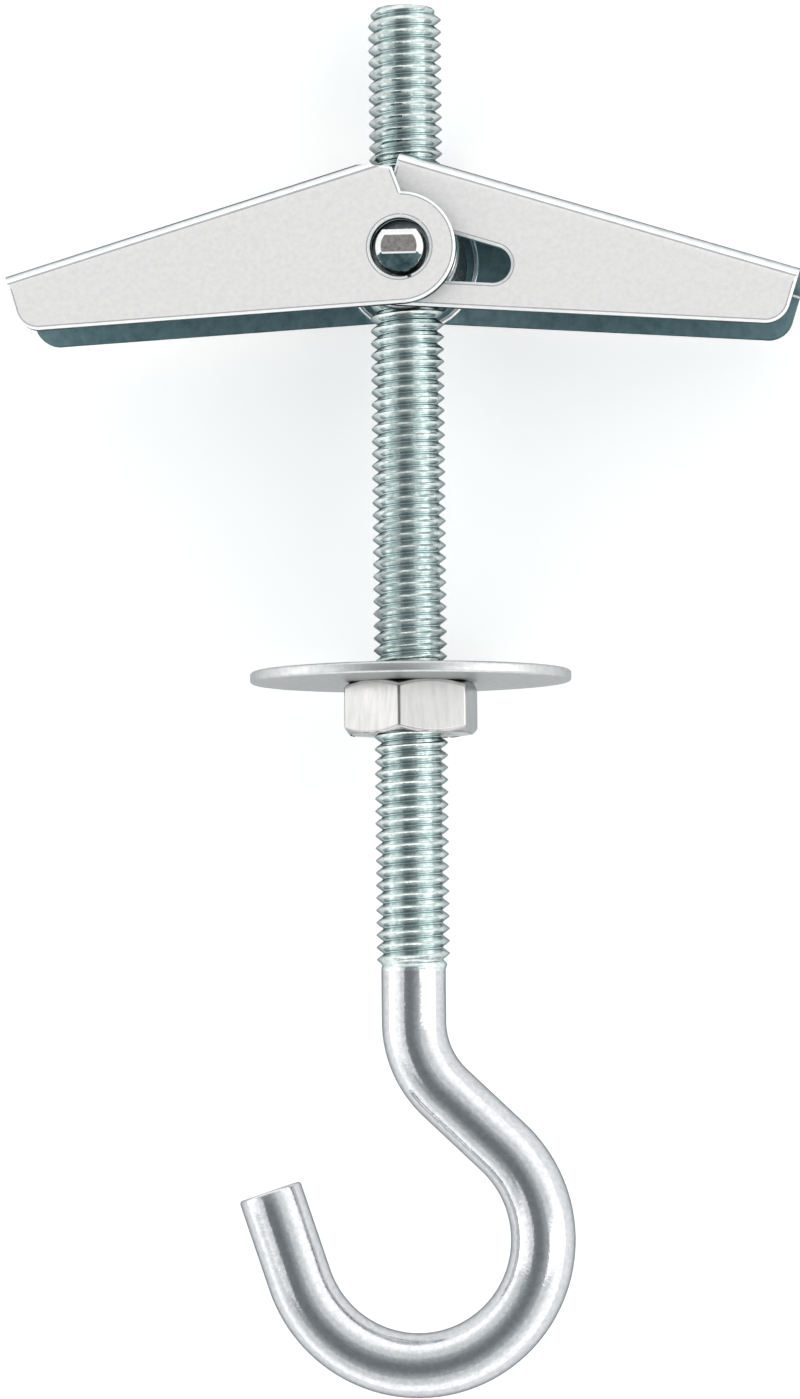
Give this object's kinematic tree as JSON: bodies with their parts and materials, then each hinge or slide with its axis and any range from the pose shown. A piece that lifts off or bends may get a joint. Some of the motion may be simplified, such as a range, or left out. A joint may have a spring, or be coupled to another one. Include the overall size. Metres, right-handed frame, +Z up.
{
  "type": "spring toggle bolt",
  "caption": "Hook bolt with a spring toggle: a threaded rod bent to an open hook, a nut and a wide washer, and hinged channel wings that spring open behind a panel.",
  "frame": {"origin": "middle of the part's footprint on the floor that it lies on", "axes": "+X to the side on which the hook's bend leaves the bolt, +Y along the floor towards the toggle's end, +Z up"},
  "size_m": [0.0644, 0.1115, 0.0258],
  "materials": {
    "bright_zinc_rod": "bright zinc plate on cold-drawn rod with a rolled thread",
    "bright_zinc_nut": "bright zinc plate",
    "zinc_washer": "zinc plate, satin",
    "zinc_trunnion": "zinc plate",
    "spring_steel": "drawn spring wire",
    "zinc_sheet": "zinc plate on pressed sheet, matt"
  },
  "bodies": {
    "hook_bolt": {"hook_bolt": "bright_zinc_rod"},
    "toggle": {"trunnion": "zinc_trunnion", "torsion_spring": "spring_steel"},
    "left_wing": {"left_wing": "zinc_sheet"},
    "right_wing": {"right_wing": "zinc_sheet"},
    "washer": {"washer": "zinc_washer"},
    "nut": {"hex_nut": "bright_zinc_nut"}
  },
  "joints": [
    {"name": "toggle_travel", "type": "slide", "parent": "hook_bolt", "child": "toggle", "axis": [0, 0.9871, -0.1604], "range_m": [-0.001, 0.014]},
    {"name": "left_wing_fold", "type": "hinge", "parent": "toggle", "child": "left_wing", "pos_m": [0.00002, 0.03524, 0.0074], "axis": [0.0515, 0.1602, 0.9857], "range_deg": [0, 77], "stiffness_Nm_per_rad": 0.012, "springref_deg": -34.38, "deforming": ["torsion_spring"]},
    {"name": "right_wing_fold", "type": "hinge", "parent": "toggle", "child": "right_wing", "pos_m": [0.00002, 0.03524, 0.0074], "axis": [-0.0515, -0.1602, -0.9857], "range_deg": [0, 76], "stiffness_Nm_per_rad": 0.012, "springref_deg": -34.38, "deforming": ["torsion_spring"]},
    {"name": "nut_travel", "type": "slide", "parent": "hook_bolt", "child": "washer", "axis": [0, 0.9871, -0.1604], "range_m": [-0.017, 0.0003]},
    {"name": "nut_turn", "type": "hinge", "parent": "washer", "child": "nut", "pos_m": [0.00002, 0.00108, 0.01295], "axis": [0, 0.9871, -0.1604], "range_deg": [-6125, 110]}
  ],
  "couplings": [
    {"joint": "nut_turn", "follows": "nut_travel", "rad_per_m": 6283.2}
  ]
}
